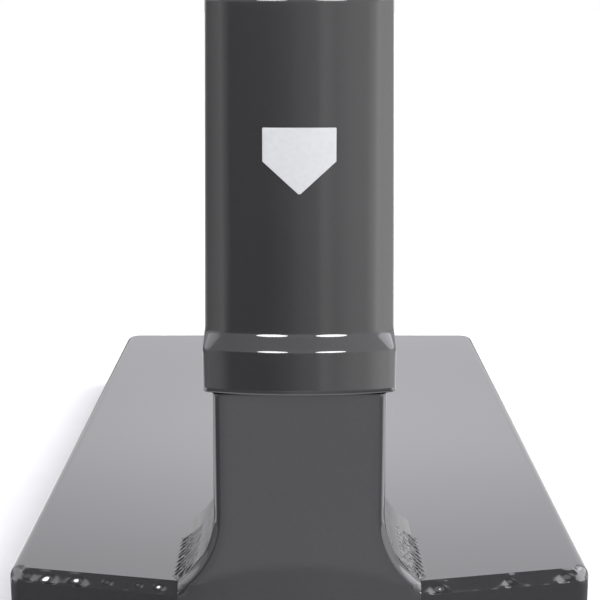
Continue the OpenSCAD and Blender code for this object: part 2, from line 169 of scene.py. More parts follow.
MATERIALS = {
    "gunmetal_paint": grained(
        "gunmetal_paint", (0.016, 0.0158, 0.0168), (0.021, 0.0206, 0.0216), 1400, (0.3, 0.38),
        Metallic=0.0, Coat_Weight=1.0, Coat_Roughness=0.012, Specular_IOR_Level=0.04),
    "black_coating": grained(
        "black_coating", (0.018, 0.018, 0.019), (0.034, 0.034, 0.036), 700, (0.5, 0.68), bump=0.5),
    "zinc_steel": grained(
        "zinc_steel", (0.3, 0.3, 0.3), (0.42, 0.42, 0.43), 500, (0.24, 0.42), bump=0.15,
        patches=60, Metallic=1.0),
    "foot_rubber": grained(
        "foot_rubber", (0.014, 0.014, 0.014), (0.026, 0.026, 0.026), 900, (0.6, 0.8), bump=0.4),
    "rest_rubber": grained(
        "rest_rubber", (0.016, 0.016, 0.017), (0.032, 0.032, 0.033), 800, (0.48, 0.66), bump=0.25,
        patches=25),
    "black_plastic": grained(
        "black_plastic", (0.018, 0.018, 0.02), (0.032, 0.032, 0.034), 1100, (0.36, 0.5), bump=0.45,
        patches=30),
    "grey_nylon": grained(
        "grey_nylon", (0.42, 0.42, 0.41), (0.52, 0.52, 0.51), 800, (0.4, 0.5), bump=0.15,
        Subsurface_Weight=0.1, Subsurface_Scale=0.002),
    "black_alloy": grained(
        "black_alloy", (0.03, 0.03, 0.034), (0.06, 0.06, 0.066), 900, (0.28, 0.4), bump=0.12,
        stretch=(1, 1, 5), Metallic=0.8),
    "anodised_tube": grained(
        "anodised_tube", (0.24, 0.245, 0.255), (0.31, 0.315, 0.325), 900, (0.26, 0.38), bump=0.1,
        stretch=(6, 6, 0.12), patches=9, Metallic=1.0),
    "brushed_tube": grained(
        "brushed_tube", (0.28, 0.28, 0.285), (0.38, 0.38, 0.385), 700, (0.18, 0.32), bump=0.14,
        stretch=(0.15, 0.15, 9), patches=9, Metallic=1.0),
    "badge_grey": grained(
        "badge_grey", (0.32, 0.327, 0.334), (0.353, 0.36, 0.367), 500, (0.3, 0.4), Coat_Weight=0.4,
        Coat_Roughness=0.1),
}


# ---------------------------------------------------------------------------------------------
# Mesh helpers
# ---------------------------------------------------------------------------------------------


def make_mesh(name, points, faces, slot, smooth_angle=35):
    """A mesh object with doubles merged and normals outward, sharp only beyond the angle."""
    mesh = bpy.data.meshes.new(name)
    mesh.from_pydata([tuple(p) for p in points], [], faces)
    work = bmesh.new()
    work.from_mesh(mesh)
    bmesh.ops.remove_doubles(work, verts=work.verts, dist=1e-6)
    bmesh.ops.recalc_face_normals(work, faces=work.faces)
    work.to_mesh(mesh)
    work.free()
    mesh.shade_smooth()
    mesh.set_sharp_from_angle(angle=math.radians(smooth_angle))
    mesh.materials.append(MATERIALS[slot])
    piece = bpy.data.objects.new(name, mesh)
    bpy.context.scene.collection.objects.link(piece)
    return piece


def install(piece, body, *nodes):
    """The piece rides on a body and stands for its CAD nodes."""
    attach(piece, body)
    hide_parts(*nodes)
    return piece


def grid_faces(rows, columns, wrap_columns=False, wrap_rows=False, start=0):
    """Quads over a grid of points stored row by row."""
    faces = []
    for i in range(rows if wrap_rows else rows - 1):
        for k in range(columns if wrap_columns else columns - 1):
            a = start + i * columns
            b = start + ((i + 1) % rows) * columns
            after = (k + 1) % columns
            faces.append((a + k, a + after, b + after, b + k))
    return faces


def softened(points, radii, steps=5, closed=True):
    """A profile with rounded corners, each held by guard points where there is room.

    Only the first two numbers of a point are lengths in the profile's plane. Any others are blended.
    """
    points = [Vector((*p, 0) if len(p) == 2 else p) for p in points]
    out = []
    for i, p in enumerate(points):
        if radii[i] == 0 or (not closed and i in (0, len(points) - 1)):
            out.append(p)
            continue
        to_a, to_b = points[i - 1] - p, points[(i + 1) % len(points)] - p
        len_a, len_b = to_a.xy.length, to_b.xy.length
        half = to_a.xy.angle(to_b.xy) / 2
        reach = min(radii[i] / math.tan(half), 0.45 * len_a, 0.45 * len_b)
        if reach + GUARD < 0.5 * len_a:
            out.append(p + to_a * ((reach + GUARD) / len_a))
        start, end = p + to_a * (reach / len_a), p + to_b * (reach / len_b)
        for k in range(steps + 1):
            t = k / steps
            out.append(start * (1 - t) ** 2 + p * 2 * t * (1 - t) + end * t * t)
        if reach + GUARD < 0.5 * len_b:
            out.append(p + to_b * ((reach + GUARD) / len_b))
    return out


def in_mm(rows):
    """Rows of numbers given in millimetres, as metres."""
    return [tuple(v * MM for v in row) for row in rows]


def round_profile(rows, radii, steps=4):
    """A softened profile from rows and radii in millimetres."""
    return softened(in_mm(rows), [r * MM for r in radii], steps)


def turned(name, profile, slot, origin=POST, along="Z", segments=96, radial=None, closed=True,
           smooth_angle=35):
    """A turned piece about Z or Y: the profile holds (radius, height).

    The function radial(angle, radius, height) may change the radius.
    """
    points = []
    for radius, height in (p[:2] for p in profile):
        for k in range(segments):
            angle = 2 * math.pi * k / segments
            r = radial(angle, radius, height) if radial else radius
            across, up = r * math.cos(angle), r * math.sin(angle)
            local = (across, up, height) if along == "Z" else (across, height, up)
            points.append([a + b for a, b in zip(origin, local)])
    faces = grid_faces(len(profile), segments, wrap_columns=True, wrap_rows=closed)
    return make_mesh(name, points, faces, slot, smooth_angle)


def soft_square(half, corner=None, crown=CROWN_EXCESS, flank=SIDE_EXCESS):
    """Outline of a square section about the post axis: crowned faces and round corners."""
    corner = half - CORNER_DROP if corner is None else corner
    drop, ratio = half - corner, flank / crown
    # (x, y) is the centre from which the corner's arc meets both faces' arcs smoothly.
    shift = drop * (1 - ratio) + crown
    a, b, c = 1 + ratio**2, 2 * ratio * shift, shift**2 - (drop + crown) ** 2
    x = (math.sqrt(b * b - 4 * a * c) - b) / (2 * a)
    y = shift - crown + ratio * x
    front, side = half + crown, half + flank
    front_bow, side_bow = math.atan2(x, y + crown), math.atan2(y, x + flank)
    turn = math.pi / 2 - front_bow - side_bow
    along_face = [-1 + 2 * i / FACE_STEPS for i in range(FACE_STEPS)]
    round_corner = [i / CORNER_STEPS for i in range(CORNER_STEPS)]

    # Half the way round: a flank, a corner, a crowned face and a corner. A half turn gives the rest.
    there = []
    for part in along_face:
        angle = side_bow * part
        there.append((half - side + side * math.cos(angle), side * math.sin(angle)))
    for part in round_corner:
        angle = side_bow + turn * part
        there.append((x + corner * math.cos(angle), y + corner * math.sin(angle)))
    for part in along_face:
        angle = front_bow * part
        there.append((-front * math.sin(angle), half - front + front * math.cos(angle)))
    for part in round_corner:
        angle = math.pi / 2 + front_bow + turn * part
        there.append((-x + corner * math.cos(angle), y + corner * math.sin(angle)))
    return there + [(-across, -along) for across, along in there]


def square_loft(name, rows, radii, slot, steps=5):
    """A closed loft through square sections, softened where its profile turns.

    A row holds the section's half depth in front, its height, corner radius and half width.
    """
    profile = softened(rows, radii, steps)
    points = []
    for depth, z, corner, half in profile:
        front_share = depth / half
        for x, y in soft_square(half, corner):
            points.append((x, POST_Y + (y * front_share if y < 0 else y), z))
    faces = grid_faces(len(profile), len(points) // len(profile), wrap_columns=True, wrap_rows=True)
    return make_mesh(name, points, faces, slot)


def smoothstep(low, high, value):
    """A soft rise from 0 to 1 as the value goes from low to high."""
    t = min(1, max(0, (value - low) / (high - low)))
    return t * t * (3 - 2 * t)


# ---------------------------------------------------------------------------------------------
# Base: shell, neck and weld beads
# ---------------------------------------------------------------------------------------------

# The tray's lower edge and wall, as (inset, height above the lower edge) in mm.
LOWER_EDGE = [(1.2, 0), (0.5, 0.2), (0.12, 0.7), (0, 1.4), (0, 2.2)]
TRAY_WALL = [(4, 6), (4, 1), (3.4, 0.15), (2.8, 0), *LOWER_EDGE, (0, 23.5)]

# Lumps of weld along the wings' front edges: place across, height and width, in mm.
LUMPS = [(-129, 2.6, 2.2), (-119.5, 3.7, 3.2), (-105, 3.4, 3.2), (-90, 2.0, 1.7), (-75, 1.8, 1.5),
         (-65, 2.4, 1.9), (64, 3.2, 3.4), (99, 2.6, 2.1), (127, 2.8, 3.0)]


def tray_outline():
    """Plan outline of the tray as (x, y, turn), where turn is the way that its wall faces.

    The corner radius lies between each point and the wall.
    """
    front = (APRON_HALF - 2 * MM, BASE_FRONT + CORNER_R)
    wing = (BASE_SIDE - CORNER_R, BASE_FRONT + WING_SWEEP + CORNER_R)
    back = (BASE_SIDE - CORNER_R, BASE_BACK - CORNER_R)
    bend = math.atan2(wing[1] - front[1], wing[0] - front[0])
    # Each corner's centre, first and last turn, steps, and the spacing of the points after it.
    arcs = [(front, -math.pi / 2, bend - math.pi / 2, 4, 0.8 * MM),
            (wing, bend - math.pi / 2, 0, 14, 30 * MM),
            (back, 0, math.pi / 2, 14, 30 * MM)]
    half = []
    for i, (centre, start, end, steps, spacing) in enumerate(arcs):
        half += [(*centre, start + (end - start) * k / steps) for k in range(steps + 1)]
        if i < len(arcs) - 1:
            after = arcs[i + 1][0]
            count = max(2, int(math.dist(centre, after) / spacing))
            for k in range(1, count):
                half.append((centre[0] + (after[0] - centre[0]) * k / count,
                             centre[1] + (after[1] - centre[1]) * k / count, end))
    return half + [(-x, y, math.pi - turn) for x, y, turn in reversed(half)]


def lump_height(x, turn, share):
    """How proud the weld bead stands, in mm, at a share of the way over a wing's front edge."""
    height = 0.2 * noise.noise(Vector((x * 160, share * 1.8, 4.2)))
    sweep = min(0.7, abs(math.cos(turn)) / max(0.2, -math.sin(turn)))
    # A lump's face is turned forwards, against the wing's sweep, and less so on the right.
    forwards = sweep * (0.72 if x > 0 else -1)
    bead_girth = 7.4
    for at, size, width in LUMPS:
        beside, above = (x / MM - at) / width, (share - 0.5) * bead_girth / size
        if abs(beside) < 3:
            rise = forwards * beside * width + 0.5 * size * above
            height += rise * math.exp(-(beside**2 + above**2) / 2)
    return height * smoothstep(0, 0.15, share) * (1 - smoothstep(0.85, 1, share))


def tray_section(x, turn):
    """The tray's wall, rim and edge of the top at one place, as (reach from the outline, height).

    The rim is a quarter round, but along a wing's front it is a flatter bead with its lumps.
    """
    facing = math.sin(turn)
    across = abs(x) + CORNER_R * abs(math.cos(turn))
    bead = smoothstep(APRON_HALF - 4 * MM, APRON_HALF - 1 * MM, across)
    bead *= 1 - smoothstep(-0.8, -0.2, facing)
    lean = 7 * smoothstep(-0.97, -0.8, facing)
    first, last = math.radians(34 + lean), math.radians(50 + lean)
    bead_r = RIM_R / (math.sin(last) - math.sin(first))
    top = PLATE_TOP - SHELL_BOTTOM

    section = in_mm(TRAY_WALL)
    for k in range(RIM_STEPS + 1):
        share = k / RIM_STEPS
        angle, rise = math.pi / 2 * share, first + (last - first) * share
        lump = lump_height(x, turn, share) * MM
        plain = (RIM_R * (1 - math.cos(angle)), RIM_R * math.sin(angle))
        proud = (bead_r * (math.cos(first) - math.cos(rise)) - lump * math.cos(rise),
                 bead_r * (math.sin(rise) - math.sin(first)) + lump * math.sin(rise) * (1 - share))
        inset, up = (a * (1 - bead) + b * bead for a, b in zip(plain, proud))
        section.append((inset, top - RIM_R + up))
    section += [(max(RIM_R, inset) + GUARD, top), (RIM_R + 4 * MM, top)]

    # Behind the apron the front wall stands back, out of the apron's way.
    hidden = 0
    if facing < -0.9:
        beside_apron = smoothstep(APRON_HALF - 6 * MM, APRON_HALF - 1 * MM, across)
        hidden = 0.03 * MM + 1.5 * MM * (1 - beside_apron)
    return [(min(CORNER_R, CORNER_R - inset) - hidden, up) for inset, up in section]


def base_shell():
    """The tray: a plan outline taken up its wall, over the rim and onto the flat top."""
    outline = tray_outline()
    sections = [tray_section(x, turn) for x, _, turn in outline]
    points = []
    for level in zip(*sections):
        for (x, y, turn), (reach, up) in zip(outline, level):
            points.append((x + reach * math.cos(turn), y + reach * math.sin(turn), SHELL_BOTTOM + up))
    rows, count = len(sections[0]), len(outline)
    faces = grid_faces(rows, count, wrap_columns=True)
    faces.append(tuple((rows - 1) * count + k for k in range(count)))
    install(make_mesh("base_tray", points, faces, "gunmetal_paint", 19), "base", "base_shell")


def flare_out(height):
    """How far the flare stands out from the neck at a height above the plate."""
    return FLARE_R - math.sqrt(FLARE_R**2 - (FLARE_H - height) ** 2)


# The foot's outline comes to its left front corner after three faces and two corners.
FRONT_START = 3 * FACE_STEPS + 2 * CORNER_STEPS


def foot_outline():
    """Outline of the flare's foot: flat, in line with the neck's front, small front corners."""
    growth = flare_out(0)
    half, front, side = NECK_HALF + growth, NECK_HALF - RIM_R, NECK_HALF + growth - RIM_R
    rear_r = RIM_R + growth / 2
    rear = half - rear_r

    def arc(x, y, radius, start):
        angles = [math.radians(start + 90 * k / CORNER_STEPS) for k in range(CORNER_STEPS)]
        return [(x + radius * math.cos(angle), y + radius * math.sin(angle)) for angle in angles]

    def line(a, b):
        shares = [k / FACE_STEPS for k in range(FACE_STEPS)]
        return [(a[0] + (b[0] - a[0]) * share, a[1] + (b[1] - a[1]) * share) for share in shares]

    return (line((half, -front), (half, rear)) + arc(rear, rear, rear_r, 0)
            + line((rear, half), (-rear, half)) + arc(-rear, rear, rear_r, 90)
            + line((-half, rear), (-half, -front)) + arc(-side, -front, RIM_R, 180)
            + line((-side, -NECK_HALF), (side, -NECK_HALF)) + arc(side, -front, RIM_R, 270))


def flare_outline(height):
    """Outline of the neck's outside at a height above the plate: a flat-faced tube on its flare."""
    share = flare_out(height) / flare_out(0) if height < FLARE_H else 0
    # Radii of metres leave the tube's faces flat.
    flat = 9
    tube_outline = soft_square(NECK_HALF, TUBE_CORNER, flat, flat)
    return [(a[0] * (1 - share) + b[0] * share, a[1] * (1 - share) + b[1] * share)
            for a, b in zip(tube_outline, foot_outline())]


def neck():
    """The neck with its flared foot, and the apron that carries its front down to the base's edge.

    The neck is a flat-faced tube below the collar. Just under the collar it steps in to a crowned one.
    """
    collar, top = SLEEVE_BOTTOM - PLATE_TOP, NECK_TOP - PLATE_TOP
    inside = NECK_HALF - 4 * MM
    heights = [FLARE_H * (k / 22) for k in range(23)]
    heights += [FLARE_H + 1 * MM, collar - 1.3 * MM, collar - 0.6 * MM]
    sections = [(height, flare_outline(height)) for height in heights]
    lip = softened([(NECK_HALF, collar - 0.3 * MM), (NECK_HALF, collar + 0.3 * MM), (NECK_HALF, top),
                    (inside, top), (inside, 0.5 * MM)], [0, 0, 1.1 * MM, 1.1 * MM, 0], closed=False)
    sections += [(height, soft_square(half)) for half, height, _ in lip]
    points = [(x, POST_Y + y, PLATE_TOP + height) for height, outline in sections for x, y in outline]
    faces = grid_faces(len(sections), len(points) // len(sections), wrap_columns=True)

    # The apron hangs from the foot's front points: left corner, flat front, right corner.
    foot = foot_outline()
    front = foot[FRONT_START:] + foot[:1]
    start = len(points)
    rim = [PLATE_TOP - RIM_R * (1 - math.cos(math.radians(a))) for a in range(0, 91, 9)]
    levels = [(0, z) for z in rim + [PLATE_TOP - RIM_R - GUARD]]
    for back, up in in_mm([*reversed(LOWER_EDGE), (4, 0)]):
        levels.append((back, SHELL_BOTTOM + up))
    for back, z in levels:
        for x, _ in front:
            # The round corners of the foot fade out over the rim's height.
            past = max(0, abs(x) - (APRON_HALF - RIM_R)) * max(0, z - (PLATE_TOP - RIM_R)) / RIM_R
            y = BASE_FRONT + RIM_R - math.sqrt(max(0, RIM_R**2 - past**2)) + back
            points.append((x, y, z))
    faces += grid_faces(len(levels), len(front), start=start)
    install(make_mesh("neck_and_apron", points, faces, "gunmetal_paint", 40), "base", "neck")


def weld_beads():
    """The fillet weld round the flare's foot. Near the front each stroke of the torch left a ripple.

    Across the back the bead is plain, and along the sides between it is sunk into the flare.
    """
    foot, high, straight = foot_outline(), flare_outline(WELD_H), flare_outline(FLARE_H)
    stroke, slant, ripple = 5.2 * MM, 19 * MM, 1.3 * MM
    spacing, across = 0.4 * MM, 44
    ripples_end, front_end, back_start = 54 * MM, 51 * MM, 118 * MM

    lengths = [0]
    for a, b in zip(foot[:FRONT_START], foot[1:FRONT_START + 1]):
        lengths.append(lengths[-1] + math.dist(a, b))
    count = int(lengths[-1] / spacing)
    points, k = [], 0
    for i in range(count + 1):
        t = lengths[-1] * i / count
        while k < FRONT_START - 1 and lengths[k + 1] < t:
            k += 1
        share = (t - lengths[k]) / (lengths[k + 1] - lengths[k])
        low, top, wall = (Vector(line[k]).lerp(Vector(line[k + 1]), share) for line in (foot, high, straight))
        out = (low - top).normalized()

        from_end = min(t, lengths[-1] - t)
        fade = smoothstep(-2 * MM, 6 * MM, from_end)
        rippled = smoothstep(-1 * MM, 3 * MM, from_end)
        rippled *= 1 - smoothstep(ripples_end, ripples_end + 6 * MM, from_end)
        shown = 1 - smoothstep(front_end, front_end + 5 * MM, from_end)
        shown += smoothstep(back_start, back_start + 17 * MM, from_end)

        a = Vector((*top, WELD_H))
        b = Vector((*(low - out * 3.4 * MM), 1 * MM))
        c = Vector((*(low + out * 4 * MM * fade), -0.06 * MM))
        for j in range(across + 1):
            s = j / across
            p = a * (1 - s) ** 2 + b * 2 * s * (1 - s) + c * s * s
            height = WELD_H * (1 - s)
            sunk = wall.lerp(low, flare_out(height) / flare_out(0)) - out * 0.5 * MM
            p = Vector((*sunk, height - 0.1 * MM)).lerp(p, shown)
            lift = Vector((*out * (1 - s), 0.35 + s)).normalized()
            wander = 0.35 * noise.noise(Vector((t * 260, s * 3, 0)))
            wander += 0.12 * noise.noise(Vector((t * 900, s * 9, 5)))
            ridge = abs(math.sin(math.pi * ((from_end + slant * s) / stroke + wander))) ** 0.7 - 0.6
            patch = smoothstep(0.12, 0.3, s) * (1 - smoothstep(0.8, 0.95, s))
            p += lift * ripple * ridge * patch * rippled
            points.append((p.x, POST_Y + p.y, PLATE_TOP + p.z))
    faces = grid_faces(count + 1, across + 1)
    install(make_mesh("weld_fillets", points, faces, "gunmetal_paint", 70), "base", "weld_beads")


# ---------------------------------------------------------------------------------------------
# Sleeve, badge and mast
# ---------------------------------------------------------------------------------------------


def sleeve_half(z):
    """Half width of the tapered sleeve at a height."""
    share = (z - SLEEVE_START) / (SHOULDER - SLEEVE_START)
    return SLEEVE_LOW_HALF + (SLEEVE_TOP_HALF - SLEEVE_LOW_HALF) * share


def sleeve():
    """The tapered sleeve with its collar band, both slopes and the rolled lower rim.

    The front dips a little where it meets the lower slope.
    """
    bush, bore, lip = COLLAR_HALF - 3 * MM, NECK_HALF + 0.3 * MM, NECK_HALF - 0.4 * MM
    bush_corner = BAND_CORNER - 2.5 * MM
    rows = [(bush, SLEEVE_BOTTOM, bush_corner, bush),
            (COLLAR_HALF - 0.15 * MM, SLEEVE_BOTTOM, BAND_CORNER, COLLAR_HALF),
            (COLLAR_HALF, SLEEVE_BOTTOM + 2.2 * MM, BAND_CORNER, COLLAR_HALF),
            (COLLAR_HALF, BAND_TOP, BAND_CORNER, COLLAR_HALF)]
    radii = [0, 1.3, 1.2, 8]
    for up, dip in ((0, 1.3), (10, 1.2), (22, 0.85), (34, 0.35), (46, 0)):
        half = sleeve_half(SLEEVE_START + up * MM)
        rows.append((half - dip * MM, SLEEVE_START + up * MM, half - CORNER_DROP, half))
        radii.append(900 if up else 12)
    for half, z in ((SLEEVE_TOP_HALF, SHOULDER), (NECK_HALF + 0.6 * MM, SLEEVE_HIGH.z),
                    (lip, SLEEVE_HIGH.z + 1.2 * MM), (lip, NECK_TOP), (bore, NECK_TOP), (bore, BAND_TOP)):
        rows.append((half, z, half - CORNER_DROP, half))
    rows.append((bush, BAND_TOP, bush_corner, bush))
    radii += [2.2, 0.8, 0, 0, 0, 0, 0]
    loft = square_loft("sleeve_and_collar", rows, [r * MM for r in radii], "gunmetal_paint", steps=8)
    install(loft, "post", "lower_sleeve")


def badge():
    """A home-plate outline, point down, laid on the crowned front of the sleeve."""
    centre, half_w = (BADGE_LOW.z + BADGE_HIGH.z) / 2, BADGE_HIGH.x
    half_h = (BADGE_HIGH.z - BADGE_LOW.z) / 2
    corner, across = 0.5 * MM, 24
    levels = [half_h, half_h - 0.15 * MM, half_h - corner]
    levels += [half_h * (1 - k / 14) for k in range(1, 15)]
    levels += [-half_h * k / 20 for k in range(1, 20)] + [-half_h + corner]
    # Each ring of the rolled edge, as (inset, height above the sleeve) in mm. The last one is filled.
    rings = [(0, -0.5), (0, 0.36), (0.14, 0.5), (0.6, 0.5)]
    points, faces = [], []
    for inset, proud in rings:
        for up in levels:
            width = half_w if up >= 0 else half_w * (1 + up / half_h)
            if up > half_h - corner:
                width -= corner - math.sqrt(max(0, corner**2 - (up - half_h + corner) ** 2))
            width = max(width - inset * MM, 0.05 * MM)
            z = centre + up - (inset * MM if up > 0 else 0)
            half = sleeve_half(centre + up) + proud * MM
            face = half + CROWN_EXCESS
            for k in range(across + 1):
                x = width * (2 * k / across - 1)
                points.append((x, POST_Y - (half - face + math.sqrt(face**2 - x * x)), z))
    columns = across + 1
    size = len(levels) * columns
    border = [*range(columns), *(i * columns + across for i in range(1, len(levels))),
              *(size - 1 - k for k in range(1, columns)),
              *(i * columns for i in range(len(levels) - 2, 0, -1))]
    for ring in range(len(rings) - 1):
        here, after = ring * size, (ring + 1) * size
        for a, b in zip(border, border[1:] + border[:1]):
            faces.append((here + a, here + b, after + b, after + a))
    faces += grid_faces(len(levels), columns, start=(len(rings) - 1) * size)
    piece = make_mesh("home_plate_badge", points, faces, "badge_grey", 50)
    # The points inside the lower rings carry no face.
    trim = bmesh.new()
    trim.from_mesh(piece.data)
    bmesh.ops.delete(trim, geom=[v for v in trim.verts if not v.link_faces], context="VERTS")
    trim.to_mesh(piece.data)
    trim.free()
    install(piece, "post", "front_badge")


def mast():
    """The square mast tube, with its two ends eased."""
    corner, wall = NECK_HALF - CORNER_DROP, 3 * MM
    inner = NECK_HALF - wall
    rows = [(NECK_HALF, MAST_LOW.z, corner, NECK_HALF), (NECK_HALF, MAST_HIGH.z, corner, NECK_HALF),
            (inner, MAST_HIGH.z, corner - wall, inner), (inner, MAST_LOW.z, corner - wall, inner)]
    loft = square_loft("mast_square_tube", rows, [0.9 * MM] * 4, "gunmetal_paint")
    install(loft, "post", "mast_tube")


def lock():
    """The rear lock: a boss with its weld fillet, and a lobed knob with a domed face."""
    boss_low, boss_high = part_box("lock_boss")
    centre = (0, 0, (boss_low.z + boss_high.z) / 2)
    base, face = boss_low.y / MM, boss_high.y / MM
    boss = round_profile([(5.2, base), (15, base + 0.4), (12, base + 3), (12, face), (5.2, face)],
                         [0, 0, 2.5, 1, 0.6])
    install(turned("lock_boss_with_weld", boss, "gunmetal_paint", centre, "Y"), "post", "lock_boss")

    knob_low, knob_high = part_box("lock_knob")
    near, far = knob_low.y / MM, knob_high.y / MM
    knob = round_profile([(5.1, near), (17, near), (19, near + 3), (24, near + 4), (24, far - 1),
                          (17.5, far), (12, far - 1.6), (0.01, far - 1.4), (0.01, near + 12),
                          (5.1, near + 12)], [0, 1, 1.5, 1.4, 2.5, 1.2, 3, 0, 0, 0])

    def lobes(angle, radius, height):
        swell = 0.5 + 0.5 * math.cos(6 * angle)
        return radius if radius < 19.2 * MM else radius - (1 - swell) * 4.6 * MM

    piece = turned("lobed_lock_knob", knob, "black_plastic", centre, "Y", 144, lobes)
    install(piece, "lock_knob", "lock_knob")


# ---------------------------------------------------------------------------------------------
# Telescope and ball rest
# ---------------------------------------------------------------------------------------------


def tube(name, node, body, slot, wall, spacing, marks):
    """A drawn tube with chamfered ends and fine engraved rings to set its height by."""
    low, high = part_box(node)
    outer = high.x / MM
    bottom, top = low.z / MM, high.z / MM
    rows, radii = [(outer - wall, bottom), (outer, bottom)], [0.5, 0.6]
    for k in range(marks):
        z = bottom + spacing * (k + 2)
        rows += [(outer, z - 0.5), (outer - 0.25, z - 0.15), (outer - 0.25, z + 0.15), (outer, z + 0.5)]
        radii += [0] * 4
    rows += [(outer, top), (outer - wall, top)]
    radii += [0.6, 0.5]
    install(turned(name, round_profile(rows, radii), slot, smooth_angle=25), body, node)


def ferrules():
    """The grooved sleeve on the lower tube, and the knurled one that holds the rest."""
    low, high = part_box("stage1_ferrule")
    a, b, r = low.z / MM, high.z / MM, high.x / MM
    rows = [(r - 3, a), (r, a), (r, a + 6), (r - 0.5, a + 6.6), (r - 0.5, a + 8), (r, a + 8.6),
            (r, b), (r - 3, b)]
    piece = turned("lower_tube_ferrule", round_profile(rows, [0, 0.9, 0, 0, 0, 0, 0.9, 0]), "black_alloy")
    install(piece, "stage1", "stage1_ferrule")

    low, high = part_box("rest_ferrule")
    a, b, r = low.z / MM, high.z / MM, high.x / MM
    rows = [(r - 3, a), (r, a), (r, a + 5), (r - 0.6, a + 5.7), (r - 0.6, a + 8), (r, a + 8.7),
            (r, b - 9), (r - 0.6, b - 8.3), (r - 0.6, b - 6), (r, b - 5.3), (r, b), (17.2, b), (17.2, b - 4),
            (12, b - 15), (r - 3, b - 18)]
    radii = [0, 0.9, 0, 0, 0, 0, 0, 0, 0, 0, 1.2, 0.5, 0, 0, 0]

    def knurl(angle, radius, height):
        knurled = a + 10 < height / MM < b - 10 and radius > (r - 0.1) * MM
        return radius - 0.25 * MM * abs(math.sin(36 * angle)) if knurled else radius

    profile = round_profile(rows, radii)
    piece = turned("rest_ferrule_knurled", profile, "black_alloy", segments=288, radial=knurl)
    install(piece, "stage2", "rest_ferrule")


def twist_nut():
    """The twist-lock nut: sixteen soft grip ribs between two plain collars."""
    low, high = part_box("twist_nut")
    a, b = low.z / MM, high.z / MM
    rows = [(25.1, a), (29, a), (29, a + 3), (31, a + 4.2), (31, b - 12.2), (29, b - 11), (29, b - 4),
            (26.5, b), (18.6, b), (18.6, b - 5.6), (25.1, b - 5.6)]
    radii = [0.6, 1.2, 0, 1.2, 1.2, 0, 2, 2, 0.8, 0, 0]

    def ribs(angle, radius, height):
        if radius <= 29.05 * MM:
            return radius
        crest = max(0, math.cos(16 * angle)) ** 0.8
        return 29 * MM + (radius - 29 * MM) * crest

    profile = round_profile(rows, radii)
    piece = turned("ribbed_twist_nut", profile, "black_plastic", segments=320, radial=ribs)
    install(piece, "twist_nut", "twist_nut")


def knuckle(pivot, radius, last):
    """Profile of a rubber ball about a pivot, in mm, from its bottom round to an angle in degrees."""
    angles = [math.radians(t) for t in range(-90, last, 6)]
    return [(max(radius * math.cos(t), 0.01), pivot + radius * math.sin(t)) for t in angles]


def rubber_rest():
    """The flexible link with its bellows, and the cup with rings outside and a rounded lip."""
    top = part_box("flex_link")[1].z / MM
    pivot = PIVOT_OF["rest_tilt_forward"][2] / MM
    rows = knuckle(pivot, 17, 26)
    for k in range(3):
        z = pivot + 10 + k * 5
        rows += [(16.4, z), (17.6, z + 0.9), (18, z + 2), (17.6, z + 3.3), (16.4, z + 4.2)]
    rows += [(17.6, top - 0.6), (16.8, top), (14.4, top), (12, top - 6), (0.01, top - 10)]
    link = turned("bellows_link", in_mm(rows), "rest_rubber", smooth_angle=50)
    install(link, "flex_link", "flex_link")

    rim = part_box("ball_rest")[1].z / MM
    pivot = PIVOT_OF["rest_tilt_side"][2] / MM
    stem, well, stem_r, flare = pivot + 19, pivot + 26, 10.5, 17.5
    rows = knuckle(pivot, 14, 42) + [(stem_r, stem - 8), (stem_r, stem - 4)]
    # The flare ends short of the lip, and every third ring of it is grooved.
    for k in range(28):
        part = k / 29
        groove = 0.35 if k % 3 == 0 and 0.05 < part < 0.9 else 0
        rows.append((stem_r + flare * part**1.3 - groove, stem + (rim - stem) * part))
    rows += [(27.5, rim - 2.2), (28, rim - 1.2), (27.7, rim - 0.4), (26.9, rim), (26, rim - 0.1),
             (25.2, rim - 0.6)]
    for k in range(11):
        part = 1 - k / 10
        radius = stem_r + flare * (0.25 + 0.75 * part) ** 1.3 - 3.3
        rows.append((radius, well + (rim - 1.2 - well) * part))
    rows += [(4, well - 0.3), (0.01, well - 0.4)]
    cup = turned("ball_cup_rest", in_mm(rows), "rest_rubber", closed=False, smooth_angle=50)
    install(cup, "ball_rest", "ball_rest")


def keep_cad_nodes():
    """CAD nodes whose shape is right keep it, with eased edges and their slot's finish."""
    for node, shown in frame["nodes"].items():
        if shown.hide_render:
            continue
        material = MATERIALS[SLOT_OF[node]]
        if not shown.material_slots:
            shown.data.materials.append(material)
        for slot in shown.material_slots:
            slot.material = material
        join = shown.modifiers.new("join", "WELD")
        join.merge_threshold = 0.01 * MM
        ease = shown.modifiers.new("ease", "BEVEL")
        ease.width = 0.35 * MM
        ease.segments = 2
        ease.limit_method = "ANGLE"
        ease.angle_limit = math.radians(40)
        even = shown.modifiers.new("even", "WEIGHTED_NORMAL")
        even.keep_sharp = True


base_shell()
neck()
weld_beads()
sleeve()
badge()
mast()
lock()
tube("lower_tube_marked", "stage1_tube", "stage1", "anodised_tube", 2, 20, 18)
tube("upper_tube_marked", "stage2_tube", "stage2", "brushed_tube", 2, 20, 17)
ferrules()
twist_nut()
rubber_rest()
keep_cad_nodes()


# ---------------------------------------------------------------------------------------------
# Floor, light and camera
# ---------------------------------------------------------------------------------------------


def floor():
    """A wide white floor, which the paint doesn't mirror: the surroundings stand in for it there."""
    material = grained("floor_white", (0.8, 0.8, 0.8), (0.82, 0.82, 0.82), 40, (0.8, 0.9))
    mesh = bpy.data.meshes.new("floor")
    reach = 40
    corners = [(-reach, -reach, 0), (reach, -reach, 0), (reach, reach, 0), (-reach, reach, 0)]
    mesh.from_pydata(corners, [], [(0, 1, 2, 3)])
    mesh.materials.append(material)
    plane = bpy.data.objects.new("floor", mesh)
    bpy.context.scene.collection.objects.link(plane)
    plane.visible_glossy = False


